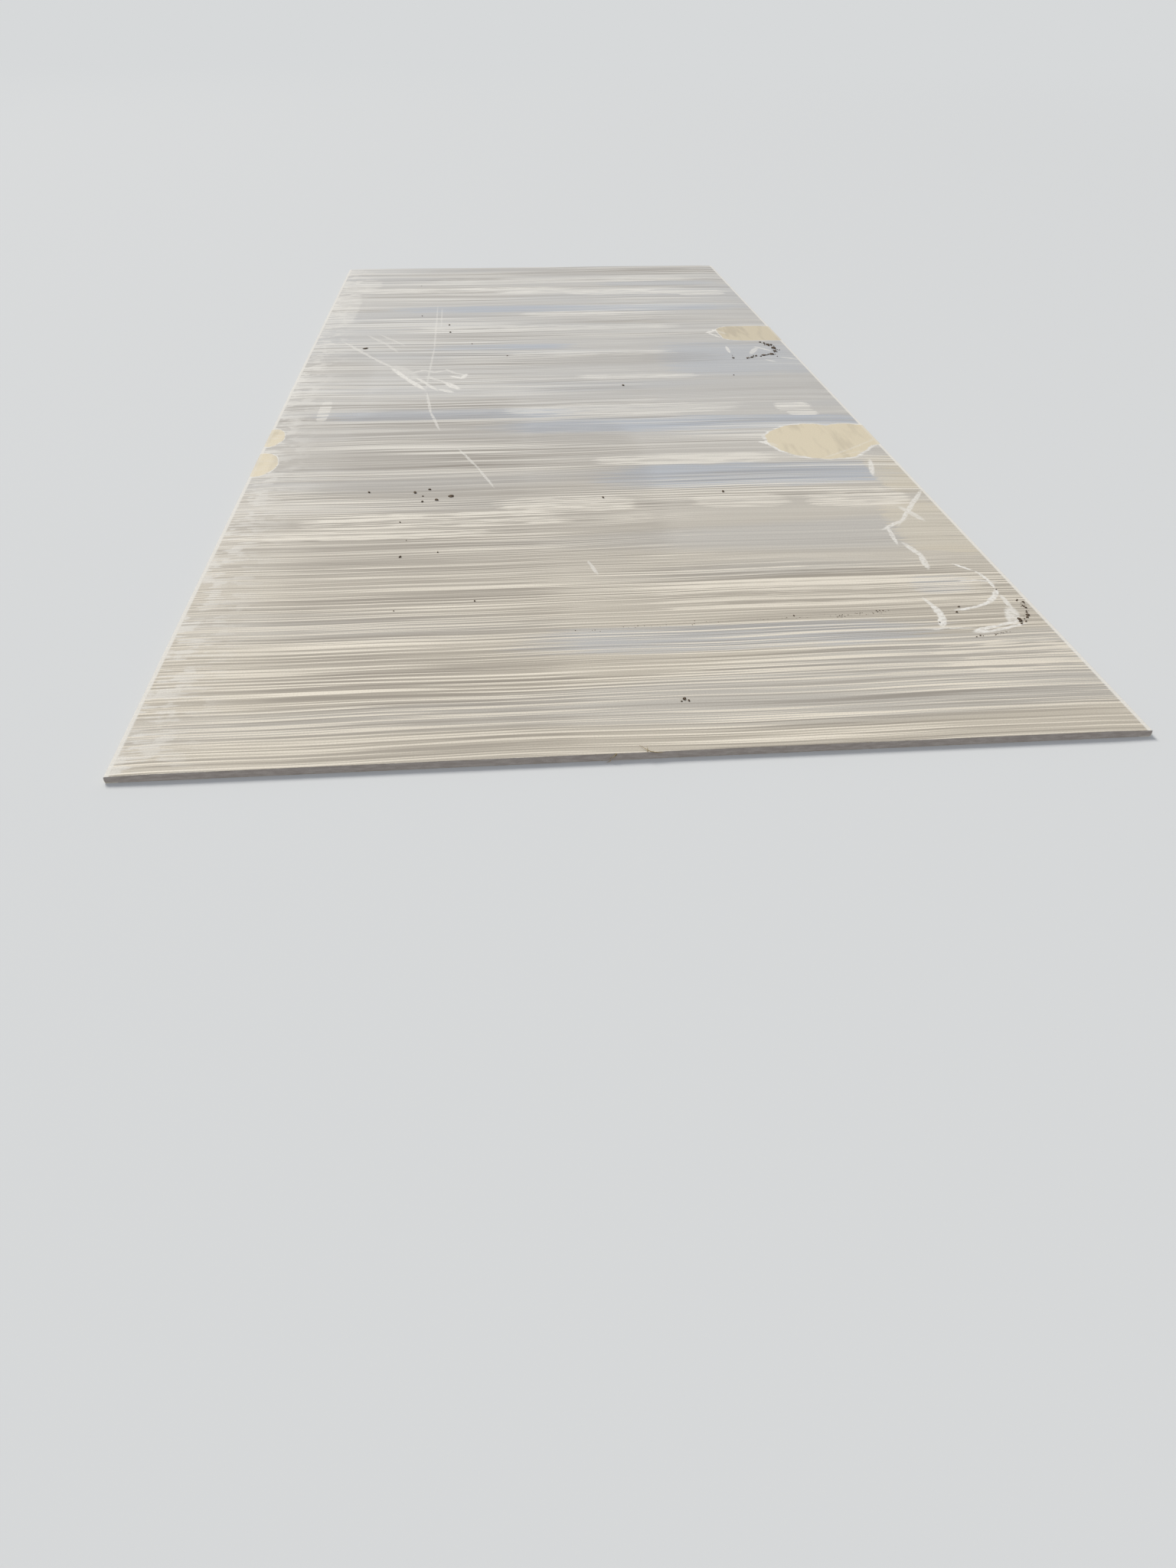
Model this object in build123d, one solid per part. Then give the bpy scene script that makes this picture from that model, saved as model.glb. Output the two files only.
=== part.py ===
"""A gypsum wallboard sheet: one flat board with paper-wrapped, tapered long edges and square-cut ends.

The sheet lies face up. X is its width, Y its length and Z its thickness, and the origin is at the
middle of its back.
"""

from build123d import *
import os

# Driving dimensions, in millimetres
sheet_width = 1200.0  # over the two wrapped long edges
sheet_length = 2700.0  # between the two cut ends
sheet_thickness = 9.5  # of the flat field between the tapers

# The shallow recess along each long edge, which takes the joint tape and its filler
taper_width = 50.0  # from the long edge to the shoulder where the full thickness starts
taper_depth = 1.3  # how far the face has dropped where it meets the long edge
shoulder_radius = 600.0  # the stiff paper bends this gently from the flat field into the taper

# The long edge itself, where the face paper is folded round the core
edge_bulge = 0.4  # how far the middle of the edge stands out past its two folds
face_fold_radius = 1.8  # fold between the taper and the edge
back_fold_radius = 1.2  # tighter fold between the edge and the back

# Places that follow from them
half_width = sheet_width / 2
fold_offset = half_width - edge_bulge  # from the middle of the sheet to each sharp fold line
edge_height = sheet_thickness - taper_depth


def long_side(side):
    """The bulged edge and the sloping taper of one long side, from the back up to the shoulder.

    side is 1 for the long edge at +X and -1 for the one at -X.
    """
    back_fold = (side * fold_offset, 0)
    bulge = (side * half_width, edge_height / 2)
    face_fold = (side * fold_offset, edge_height)
    shoulder = (side * (half_width - taper_width), sheet_thickness)
    return ThreePointArc(back_fold, bulge, face_fold), Line(face_fold, shoulder)


def cross_section():
    """The section across the width, with its folds and shoulders rounded."""
    right_edge, right_taper = long_side(1)
    left_edge, left_taper = long_side(-1)
    back = Line(left_edge @ 0, right_edge @ 0)
    field = Line(left_taper @ 1, right_taper @ 1)
    section = make_face([back, right_edge, right_taper, field, left_taper, left_edge])
    rounds = (
        (0, back_fold_radius),
        (edge_height, face_fold_radius),
        (sheet_thickness, shoulder_radius),
    )
    for height, radius in rounds:
        level = [v for v in section.vertices() if abs(v.Y - height) < taper_depth / 4]
        section = fillet(level, radius)
    return section


def drywall_sheet():
    """The section carried along the whole length, which leaves the two short ends cut square."""
    return extrude(Plane.XZ * cross_section(), amount=sheet_length / 2, both=True)


os.makedirs("parts", exist_ok=True)
export_step(drywall_sheet(), "parts/drywall_sheet.step")
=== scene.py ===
"""A drywall sheet lying face up on a pale studio floor.

The sheet is modelled as the board is made: a gypsum core that shows at the two cut ends, a face
paper folded round both long edges on to the back, and a back liner between the two folded laps.
Soil crumbs and paper fibres lie on it where the photograph has them. Lengths are in metres, in the
frame of the CAD model: X across the width, Y along the length, Z up, and the back at Z = 0. Marks on
the face are written in millimetres from the middle of the sheet.
"""

import logging
import math
import random
from contextlib import contextmanager
from dataclasses import dataclass, field
from enum import Enum
from functools import reduce
from typing import Callable, Iterable, Iterator, Sequence

import bmesh
import bpy
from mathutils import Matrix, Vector


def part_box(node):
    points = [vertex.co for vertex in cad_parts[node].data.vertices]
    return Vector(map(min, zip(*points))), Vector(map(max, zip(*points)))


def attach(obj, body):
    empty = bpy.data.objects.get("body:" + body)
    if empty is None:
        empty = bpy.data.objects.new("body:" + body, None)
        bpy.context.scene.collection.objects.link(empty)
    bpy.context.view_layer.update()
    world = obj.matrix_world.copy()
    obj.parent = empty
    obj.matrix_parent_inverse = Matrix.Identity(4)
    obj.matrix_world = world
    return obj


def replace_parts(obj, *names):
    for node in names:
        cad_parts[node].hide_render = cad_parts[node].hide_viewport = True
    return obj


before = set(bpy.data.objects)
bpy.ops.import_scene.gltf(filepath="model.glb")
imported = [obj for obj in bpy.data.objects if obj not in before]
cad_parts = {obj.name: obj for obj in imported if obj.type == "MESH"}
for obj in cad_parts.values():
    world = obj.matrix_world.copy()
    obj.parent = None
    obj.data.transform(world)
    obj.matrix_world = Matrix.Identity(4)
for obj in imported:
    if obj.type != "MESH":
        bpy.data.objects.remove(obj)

LOG = logging.getLogger("drywall_sheet")
CAD_NODE = "drywall_sheet"
# The name of the map that each piece's colours are laid out on
MAP_NAME = "OFBake"
BODY = "root"
MM = 0.001

Piece = bpy.types.Object
Polygon = bpy.types.MeshPolygon
Socket = bpy.types.NodeSocket
# What a node's input takes: another node's output, a number or a row of numbers
Entry = Socket | float | Sequence[float]
Colour = tuple[float, float, float, float]
Point = tuple[float, float]
Place = tuple[float, float, float]


def srgb(red: int, green: int, blue: int) -> Colour:
    """Turns a colour as seen on a screen into the linear colour that a shader takes.

    Args:
        red: Red from 0 to 255.
        green: Green from 0 to 255.
        blue: Blue from 0 to 255.

    Returns:
        Linear red, green, blue and an alpha of 1.
    """
    shares = (channel / 255 for channel in (red, green, blue))
    linear = (s / 12.92 if s <= 0.04045 else ((s + 0.055) / 1.055) ** 2.4 for s in shares)
    return (*linear, 1.0)


# Modelling helpers


class Way(Enum):
    """A direction of the board."""

    ACROSS = (1.0, 0.0, 0.0)
    ALONG = (0.0, 1.0, 0.0)
    UP = (0.0, 0.0, 1.0)


def bring_in(name: str, data: bpy.types.ID) -> Piece:
    """Puts a new object into the scene.

    Args:
        name: What it is called.
        data: Its mesh, curve, light or camera.

    Returns:
        The object.
    """
    piece = bpy.data.objects.new(name, data)
    bpy.context.scene.collection.objects.link(piece)
    return piece


def make_active(piece: Piece, others: Iterable[Piece] = ()) -> None:
    """Selects a piece, with others if they are named, and makes it the active one.

    Args:
        piece: The piece.
        others: What else is selected.
    """
    bpy.ops.object.select_all(action="DESELECT")
    for chosen in (piece, *others):
        chosen.select_set(True)
    bpy.context.view_layer.objects.active = piece


@contextmanager
def editing(piece: Piece) -> Iterator[None]:
    """Holds a piece in edit mode with all of it selected.

    Args:
        piece: The piece.
    """
    make_active(piece)
    bpy.ops.object.mode_set(mode="EDIT")
    bpy.ops.mesh.select_all(action="SELECT")
    yield
    bpy.ops.object.mode_set(mode="OBJECT")


def delete_faces(piece: Piece, test: Callable[[bmesh.types.BMFace], bool]) -> None:
    """Deletes the faces of an edited piece that pass a test.

    Args:
        piece: The piece in edit mode.
        test: Takes a face and says whether it goes.
    """
    bpy.ops.mesh.select_mode(type="FACE")
    bpy.ops.mesh.select_all(action="DESELECT")
    mesh = bmesh.from_edit_mesh(piece.data)
    for face in filter(test, mesh.faces):
        face.select_set(True)
    mesh.select_flush_mode()
    bmesh.update_edit_mesh(piece.data)
    bpy.ops.mesh.delete(type="FACE")


def cut_across(way: Way, places: Iterable[float]) -> None:
    """Cuts the edited piece by planes square to a direction.

    Args:
        way: The direction that the planes are square to.
        places: How far along it each plane lies.
    """
    for place in places:
        bpy.ops.mesh.select_all(action="SELECT")
        bpy.ops.mesh.bisect(plane_co=Vector(way.value) * place, plane_no=way.value)


def spread(low: float, high: float, step: float) -> list[float]:
    """Evenly spaced places between two limits, without the limits, at most step apart."""
    count = max(1, math.ceil((high - low) / step))
    return [low + (high - low) * i / count for i in range(1, count)]


def smooth(piece: Piece, degrees: float) -> None:
    """Shades a piece smooth, apart from edges sharper than an angle."""
    make_active(piece)
    bpy.ops.object.shade_smooth_by_angle(angle=math.radians(degrees))


@dataclass(frozen=True)
class Grain:
    """A cloudy grain of some size and height that pushes part of a piece in and out along the board."""

    name: str
    size: float
    height: float
    depth: int

    def roughen(self, piece: Piece, group: str) -> None:
        """Displaces a part of a piece by this grain.

        Args:
            piece: The piece, in object mode.
            group: The vertex group that moves.
        """
        texture = bpy.data.textures.new(self.name, "CLOUDS")
        texture.noise_scale = self.size
        texture.noise_depth = self.depth
        push = piece.modifiers.new(self.name, "DISPLACE")
        push.texture = texture
        push.vertex_group = group
        push.direction = "Y"
        push.strength = self.height
        make_active(piece)
        bpy.ops.object.modifier_apply(modifier=push.name)


# Node helpers


class Bench:
    """Lays out the nodes of one material around a Principled shader."""

    def __init__(self, name: str) -> None:
        """Starts an empty material with its shader and output.

        Args:
            name: The material's name.
        """
        self.material = bpy.data.materials.new(name)
        self.material.use_nodes = True
        self.tree = self.material.node_tree
        self.tree.nodes.clear()
        self.shader = self.add("ShaderNodeBsdfPrincipled")
        self.output = self.add("ShaderNodeOutputMaterial")
        self.join(self.shader.outputs["BSDF"], self.output.inputs["Surface"])
        self.place = self.add("ShaderNodeTexCoord").outputs["Object"]

    def add(
        self, kind: str, entries: Sequence[Entry] | dict[str | int, Entry] = (), **settings: str
    ) -> bpy.types.Node:
        """Adds a node.

        Args:
            kind: Blender's name for it.
            entries: What its inputs get, in order or by their names or numbers.
            settings: Its options.

        Returns:
            The node.
        """
        node = self.tree.nodes.new(kind)
        for name, value in settings.items():
            setattr(node, name, value)
        self.fill(node, entries if isinstance(entries, dict) else dict(enumerate(entries)))
        return node

    def join(self, source: Entry, target: Socket) -> None:
        """Links an output into an input, or writes a plain value there.

        Args:
            source: The output or the value.
            target: The input.
        """
        if isinstance(source, Socket):
            self.tree.links.new(source, target)
        else:
            target.default_value = source

    def fill(self, node: bpy.types.Node, entries: dict[str | int, Entry]) -> None:
        """Joins an entry into each input that is named, or given by its number."""
        for name, entry in entries.items():
            self.join(entry, node.inputs[name])

    def vector(self, operation: str, *entries: Entry) -> Socket:
        """A calculation on places, by Blender's name for it. DOT_PRODUCT and LENGTH give a number."""
        node = self.add("ShaderNodeVectorMath", entries, operation=operation)
        return node.outputs["Value" if operation in ("DOT_PRODUCT", "LENGTH") else "Vector"]

    def math(self, operation: str, *entries: Entry) -> Socket:
        """A calculation on numbers, by Blender's name for it."""
        return self.add("ShaderNodeMath", entries, operation=operation).outputs[0]

    def times(self, first: Entry, second: Entry) -> Socket:
        """One number times another."""
        return self.math("MULTIPLY", first, second)

    def plus(self, first: Entry, second: Entry) -> Socket:
        """One number and another."""
        return self.math("ADD", first, second)

    def swing(self, noise: Socket, width: float) -> Socket:
        """Turns noise from 0 to 1 into a swing of some width about 0."""
        return self.times(self.math("SUBTRACT", noise, 0.5), width)

    def between(self, value: Entry, low: float, high: float, start: float = 0.0, end: float = 1.0) -> Socket:
        """Runs smoothly from start to end while a value runs from low to high."""
        entries = {"Value": value, "From Min": low, "From Max": high, "To Min": start, "To Max": end}
        return self.add("ShaderNodeMapRange", entries, interpolation_type="SMOOTHSTEP").outputs["Result"]

    def noise(self, place: Socket, stretch: Sequence[float], detail: float, rough: float = 0.5) -> Socket:
        """Cloudy noise, on the face alone or all through a piece.

        Args:
            place: The coordinates.
            stretch: How many clouds there are to a metre along X and Y, or along X, Y and Z.
            detail: Octaves.
            rough: How strong the finer octaves are.

        Returns:
            The noise, about 0 to 1.
        """
        flat = len(stretch) == 2
        scaled = self.vector("MULTIPLY", place, (*stretch, 1.0) if flat else stretch)
        entries = {"Vector": scaled, "Scale": 1.0, "Detail": detail, "Roughness": rough}
        node = self.add("ShaderNodeTexNoise", entries, noise_dimensions="2D" if flat else "3D")
        return node.outputs["Fac"]

    def blend(self, share: Entry, low: Entry, high: Entry) -> Socket:
        """Mixes two colours, with a share of the second."""
        return self.add("ShaderNodeMix", {0: share, 6: low, 7: high}, data_type="RGBA").outputs[2]

    def wash(self, tone: Entry, colour: Entry, mask: Socket, strength: Entry) -> Socket:
        """Lays a colour over a tone where a mask is, at some strength."""
        return self.blend(self.times(mask, strength), tone, colour)

    def stain(
        self, tone: Entry, colour: Entry, noise: Socket, limits: Point, strength: float = 1.0
    ) -> Socket:
        """Lays a colour over a tone, up to some strength while noise runs between two limits."""
        return self.blend(self.between(noise, *limits, 0.0, strength), tone, colour)

    def strongest(self, first: Entry, second: Entry) -> Socket:
        """The stronger of two masks."""
        return self.math("MAXIMUM", first, second)

    def nearest(self, ovals: Iterable["Oval"], place: Socket) -> Socket:
        """The distance from the nearest of several marks, with 1 at its rim."""
        distances = (oval.distance(self, place) for oval in ovals)
        return reduce(lambda first, second: self.math("MINIMUM", first, second), distances)

    def marks(self, ovals: Sequence["Oval"], place: Socket, fray: Socket | None, soft: float) -> Socket:
        """The strongest of several marks.

        Args:
            ovals: The marks.
            place: The coordinates in millimetres, with a Z of 1.
            fray: Noise about 0 that pushes the borders in and out, or None.
            soft: How gently the borders fade.

        Returns:
            The mask.
        """
        masks = []
        for strength in sorted({oval.strength for oval in ovals}):
            distance = self.nearest((oval for oval in ovals if oval.strength == strength), place)
            if fray is not None:
                distance = self.plus(distance, fray)
            masks.append(self.between(distance, 1 + soft, 1 - soft, 0.0, strength))
        return reduce(self.strongest, masks)

    def specks(self, per_metre: float, radius: float, share: float) -> Socket:
        """Scattered round specks.

        Args:
            per_metre: Cells to a metre.
            radius: The largest speck's radius.
            share: The share of cells that hold one.

        Returns:
            A mask that is 1 on a speck.
        """
        cells = self.add("ShaderNodeTexVoronoi", {"Vector": self.place, "Scale": per_metre}, feature="F1")
        chance = self.add("ShaderNodeSeparateColor", [cells.outputs["Color"]])
        kept = self.math("LESS_THAN", chance.outputs[0], share)
        reach = self.times(chance.outputs[1], radius * per_metre)
        return self.times(self.math("LESS_THAN", cells.outputs["Distance"], reach), kept)

    def bump(self, height: Socket, depth: float) -> Socket:
        """Turns a height from 0 to 1, which stands for a depth in metres, into a bent normal."""
        entries = {"Height": height, "Distance": depth, "Strength": 1.0}
        return self.add("ShaderNodeBump", entries).outputs["Normal"]

    def finish(self, colour: Socket, roughness: Entry, normal: Socket, specular: float) -> bpy.types.Material:
        """Joins the results to the shader.

        Args:
            colour: The surface's colour.
            roughness: Its roughness.
            normal: Its bent normal.
            specular: The strength of its gloss.

        Returns:
            The material.
        """
        self.fill(self.shader, {"Base Color": colour, "Roughness": roughness})
        self.fill(self.shader, {"Specular IOR Level": specular, "Normal": normal})
        return self.material


# Marks on the face, in millimetres from the middle of the sheet


@dataclass(frozen=True)
class Oval:
    """A mark on the face, or a part of one.

    Attributes:
        centre: Its middle.
        reach: Half its width and half its length, before it is turned.
        strength: How strongly it shows, from 0 to 1.
        turn: How far it is turned, in radians.
        squarish: Whether it has nearly straight sides.
    """

    centre: Point
    reach: Point
    strength: float = 1.0
    turn: float = 0.0
    squarish: bool = False

    def distance(self, bench: Bench, place: Socket) -> Socket:
        """A value that is 0 in the middle and 1 at the rim, and grows past it.

        Args:
            bench: The material's nodes.
            place: The coordinates in millimetres, with a Z of 1.

        Returns:
            The value.
        """
        if self.turn:
            along, aside = (self.share(bench, place, axis) for axis in (0, 1))
            return bench.math("MULTIPLY_ADD", along, along, bench.times(aside, aside))
        shares = (1 / self.reach[0], 1 / self.reach[1], 0)
        middle = (-self.centre[0] * shares[0], -self.centre[1] * shares[1], 0)
        scaled = bench.vector("MULTIPLY_ADD", place, shares, middle)
        if self.squarish:
            scaled = bench.vector("MULTIPLY", scaled, scaled)
        return bench.vector("DOT_PRODUCT", scaled, scaled)

    def share(self, bench: Bench, place: Socket, axis: int) -> Socket:
        """How far a point lies along one of the turned oval's axes.

        Args:
            bench: The material's nodes.
            place: The coordinates in millimetres, with a Z of 1.
            axis: 0 for the axis along the oval and 1 for the one across it.

        Returns:
            The value, with 1 at the rim.
        """
        turned = self.turn + axis * math.pi / 2
        way = Vector((math.cos(turned), math.sin(turned))) / self.reach[axis]
        return bench.vector("DOT_PRODUCT", place, (*way, -way.dot(Vector(self.centre))))


def patches(strength: float, *rows: tuple[float, float, float, float]) -> tuple[Oval, ...]:
    """Squarish patches of one strength, each from its middle and half its width and length."""
    return tuple(Oval((x, y), (wide, long), strength, squarish=True) for x, y, wide, long in rows)


def rubs(strength: float, *rows: tuple[float | Point, ...]) -> tuple[Oval, ...]:
    """Rubbed lines of one strength, tapered at their ends.

    Args:
        strength: How strongly they show, from 0 to 1.
        rows: For each line how far it reaches to both sides, and then its corners.

    Returns:
        A long thin oval for each straight stretch.
    """
    found = []
    for width, *corners in rows:
        for start, end in zip(corners, corners[1:]):
            run = Vector(end) - Vector(start)
            middle = (Vector(end) + Vector(start)) / 2
            reach = (STRETCH_REACH * run.length + width, width)
            found.append(Oval(tuple(middle), reach, strength, math.atan2(run.y, run.x)))
    return tuple(found)


# How far a rubbed stretch's oval reaches from its middle, as a share of the stretch
STRETCH_REACH = 0.58
FINGER_WIPES = (
    *rubs(0.4, (20, (-372, 196), (-338, 130))),
    *rubs(0.6, (5, (-298, 122), (-266, 88), (-234, 34)), (5, (-256, 178), (-239, 149), (-214, 134)),
          (5, (-334, 162), (-312, 178), (-286, 163), (-264, 172))),
    *rubs(0.8, (5, (-323, 114), (-302, 74), (-279, 26)), (8, (-266, 24), (-248, 10))),
    *rubs(1.0, (7, (-381, 188), (-347, 110), (-311, 40)), (9, (-252, 66), (-234, 36)),
          (6, (-214, 134), (-222, 111), (-243, 125))),
)
DRAG_LINES = (
    *rubs(0.4, (5, (-462, 494), (-415, 414), (-387, 351)), (4.5, (-432, 502), (-375, 411))),
    *rubs(0.6, (5, (-517, 429), (-432, 278), (-390, 212))),
)
THIN_SCRATCHES = (
    *rubs(0.4, (2.6, (-297, 778), (-293, 368), (-301, 44)), (2.4, (-284, 772), (-282, 600))),
    *rubs(0.6, (3.2, (-297, -10), (-285, -132), (-266, -231)),
          (2.8, (-221, -364), (-187, -458), (-163, -541)), (3.0, (-20, -864), (-12, -897))),
    *rubs(0.8, (5, (547, -473), (532, -533))),
)
CORNER_SCUFFS = (
    *rubs(0.6, (6.2, (531, -693), (546, -736)), (2.5, (505, -436), (560, -412), (600, -372)),
          (7, (492, 278), (512, 318)), (5, (518, 330), (540, 300)), (4, (516, 216), (530, 200))),
    *rubs(0.8, (5, (486, -835), (496, -872), (491, -913)), (2.5, (527, -961), (570, -966)),
          (3.1, (449, -1013), (454, -1036)), (1.9, (425, -1099), (481, -1100)),
          (3.7, (564, -1017), (563, -1046)), (9.9, (559, -1056), (550, -1084)),
          (4.3, (475, -771), (512, -744), (587, -624)), (3.7, (479, -772), (474, -825)),
          (3.1, (467, -448), (522, -411), (572, -372), (598, -345)), (4.3, (441, 336), (439, 290)),
          (3.5, (560, 234), (590, 222)), (5, (424, 470), (440, 436))),
    *rubs(1.0, (2.5, (536, -909), (552, -927)), (2.8, (560, -938), (566, -960), (565, -982)),
          (4.3, (563, -996), (555, -1012), (538, -1030)), (3.1, (538, -1030), (516, -1043), (486, -1049)),
          (5.6, (454, -1040), (455, -1065), (447, -1088)), (3.4, (550, -1087), (524, -1096), (488, -1107)),
          (2.8, (556, -1097), (508, -1110), (487, -1111)), (6.8, (370, -356), (388, -371)),
          (6.2, (421, 480), (444, 500), (462, 470))),
)
BARE_PATCHES = (
    Oval((480, -354), (100, 98)),
    Oval((560, -322), (78, 64)),
    *patches(1.0, (552, 468, 104, 74)),
    Oval((-592, -265), (25, 50)),
    Oval((-590, -410), (32, 59)),
)
PALE_PATCHES = (
    *patches(0.6, (93, 1150, 360, 30), (20, 556, 320, 28), (85, 707, 130, 26), (93, 300, 185, 19),
             (114, -132, 225, 34), (310, -976, 235, 35), (-540, 1100, 56, 68), (-560, 800, 38, 165)),
    *patches(0.8, (300, -1016, 240, 6), (180, 100, 125, 17), (496, -180, 28, 19), (-508, -110, 11, 62),
             (200, -436, 150, 24), (264, -640, 76, 26), (-400, -742, 210, 15), (514, -1172, 96, 35)),
    *patches(1.0, (-240, 1020, 310, 32), (90, 988, 240, 21), (320, 960, 215, 20), (490, 935, 60, 19),
             (486, -142, 34, 26), (-36, -635, 105, 30), (470, -640, 82, 37), (-250, -688, 205, 28)),
)
# Bluish patches of painted sky reflection
SKY_REFLECTION_PATCHES = (
    *patches(0.6, (380, 1085, 170, 34), (440, 240, 170, 140), (150, -1100, 270, 34), (490, -972, 42, 26)),
    *patches(1.0, (70, 772, 450, 40), (-130, 370, 170, 26), (-250, -150, 250, 32), (240, -235, 380, 44),
             (300, -520, 260, 56)),
)
DULL_PATCHES = (
    *patches(0.4, (-510, -60, 80, 420), (-500, -690, 80, 80)),
    *patches(0.6, (-260, -65, 150, 30), (60, 1270, 450, 56), (20, 250, 350, 50), (0, -540, 120, 320)),
    *patches(0.8, (-270, -720, 190, 680)),
    *patches(1.0, (-290, -490, 190, 20)),
)
WARM_PATCHES = patches(0.8, (550, -765, 62, 100)) + patches(1.0, (575, -535, 42, 86))
CALM_PATCHES = patches(0.6, (480, 700, 180, 180)) + patches(
    1.0, (410, 125, 215, 340), (360, -770, 270, 140)
)


# Finishes


@dataclass(frozen=True)
class Streaks:
    """The noises that the face's streaks are drawn from, widest first, all about 0 to 1."""

    zones: Socket
    bands: Socket
    lines: Socket
    threads: Socket
    dashes: Socket

    @classmethod
    def across(cls, bench: Bench) -> "Streaks":
        """Noises drawn out across the width, which wander a little on their way.

        Args:
            bench: The material's nodes.

        Returns:
            The noises.
        """
        wide = bench.times(bench.noise(bench.place, (0.9, 1.3), 0.0), 50 * MM)
        narrow = bench.times(bench.noise(bench.place, (4.0, 9.0), 0.0), 8 * MM)
        shift = bench.add("ShaderNodeCombineXYZ", {"Y": bench.plus(wide, narrow)})
        moved = bench.vector("ADD", bench.place, shift.outputs[0])
        return cls(
            zones=bench.noise(moved, (0.8, 7.0), 0.0),
            bands=bench.noise(moved, (0.8, 34.0), 1.0, 0.6),
            lines=bench.noise(moved, (0.9, 96.0), 1.0, 0.7),
            threads=bench.noise(moved, (1.6, 270.0), 1.0, 0.7),
            dashes=bench.noise(moved, (9.0, 170.0), 2.0, 0.65),
        )


@dataclass(frozen=True)
class FacePaperFinish:
    """Ivory face paper under a thin veil of pale dust, drawn out across the width in streaks of painted shade
    and highlight, with patches of painted bluish sky reflection and a painted highlight along the long edges.

    Attributes:
        near_part: Where along the sheet the near end's look starts, and where it is full.
        left_margin: Where across the sheet the scuffs of its left margin start, and are full.
        highlit_rims: How far from the middle the painted highlight along the long edges starts, and where it
            is full.
        veil_rise: The heights on the folded edge between which the veil comes in.
    """

    bare: Colour = srgb(232, 220, 194)
    veil: Colour = srgb(203, 201, 198)
    warm: Colour = srgb(203, 194, 178)
    # Painted bluish reflection of the sky
    sky_reflection_tone: Colour = srgb(186, 193, 204)
    # The streaks' painted highlight, cream towards the near end and white further off; also the tone of the
    # pale patches
    cream: Colour = srgb(246, 237, 221)
    white: Colour = srgb(246, 243, 236)
    # Painted shade in the streaks' troughs; also the darker tone of dull patches, drag marks and paper fibre
    shade: Colour = srgb(140, 131, 121)
    # Chalk on scuffs, rims and rubbed marks, and the painted highlight along the long edges
    chalk_and_highlight: Colour = srgb(246, 243, 237)
    dirt: Colour = srgb(92, 80, 68)
    near_part: Point = (0.1, -1.25)
    left_margin: Point = (-0.47, -0.6)
    highlit_rims: Point = (0.592, 0.595)
    veil_rise: Point = (1 * MM, 7 * MM)
    relief: float = 0.2 * MM
    gloss: float = 0.28

    def veil_tone(self, bench: Bench, flat: Socket, streaks: Streaks, nearness: Socket) -> Socket:
        """The dusty veil, with painted bluish sky reflection in bands and zones, and warmer towards the near
        end.

        Args:
            bench: The material's nodes.
            flat: The coordinates in millimetres.
            streaks: The streaks' noises.
            nearness: 0 at the far half and 1 at the near end.

        Returns:
            The colour.
        """
        brushed = bench.swing(streaks.dashes, 3.4)
        tone = bench.wash(self.veil, self.warm, nearness, 0.9)
        # Painted bluish sky reflection, in patches and in some zones of the streaks
        sky_reflection_mask = bench.marks(SKY_REFLECTION_PATCHES, flat, brushed, 0.9)
        sky_reflection_mask = bench.strongest(sky_reflection_mask, bench.between(streaks.zones, 0.52, 0.68, 0.0, 0.25))
        tone = bench.wash(tone, self.sky_reflection_tone, sky_reflection_mask, 0.85)
        tone = bench.wash(tone, self.bare, bench.marks(WARM_PATCHES, flat, brushed, 0.4), 0.5)
        tone = bench.wash(tone, self.shade, bench.marks(DULL_PATCHES, flat, brushed, 0.9), 0.4)

        # Streaks of painted shade in their troughs and painted highlight on their crests, fainter in calm
        # patches and where the sky reflection is painted, and narrower towards the near end
        patchy = bench.between(bench.noise(bench.place, (2.2, 9.0), 0.0), 0.36, 0.66, 0.3, 1.0)
        patchy = bench.strongest(patchy, bench.times(nearness, 0.7))
        quiet = bench.strongest(bench.marks(CALM_PATCHES, flat, brushed, 0.7), bench.times(sky_reflection_mask, 0.6))
        contrast = bench.times(patchy, bench.between(quiet, 0.0, 1.0, 1.0, 0.3))
        broad = bench.times(contrast, bench.between(nearness, 0.2, 1.0, 1.0, 0.22))
        fine = bench.times(contrast, bench.between(nearness, 0.0, 1.0, 0.9, 1.9))
        keen = bench.times(contrast, bench.between(nearness, 0.0, 1.0, 0.9, 1.15))
        crest = bench.blend(nearness, self.white, self.cream)
        # Dark rows lay painted shade, light rows painted highlight
        layers = (
            (streaks.bands, 0.46, 0.36, 0.3, self.shade, broad),
            (streaks.bands, 0.53, 0.64, 0.45, crest, broad),
            (streaks.lines, 0.42, 0.35, 0.45, self.shade, broad),
            (streaks.lines, 0.55, 0.62, 0.5, crest, broad),
            (streaks.threads, 0.42, 0.37, 0.5, self.shade, keen),
            (streaks.threads, 0.54, 0.62, 0.6, crest, fine),
        )
        for noise, low, high, most, colour, strength in layers:
            tone = bench.wash(tone, colour, bench.between(noise, low, high, 0.0, most), strength)

        # Pale dry-brushed patches
        stroke = bench.plus(streaks.threads, streaks.dashes)
        dry = bench.between(stroke, 0.9, 1.05, 0.12, 1.0)
        pale = bench.marks(PALE_PATCHES, flat, bench.math("MULTIPLY_ADD", stroke, -3.6, 3.5), 0.3)
        return bench.wash(tone, crest, bench.times(pale, dry), 0.85)

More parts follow.
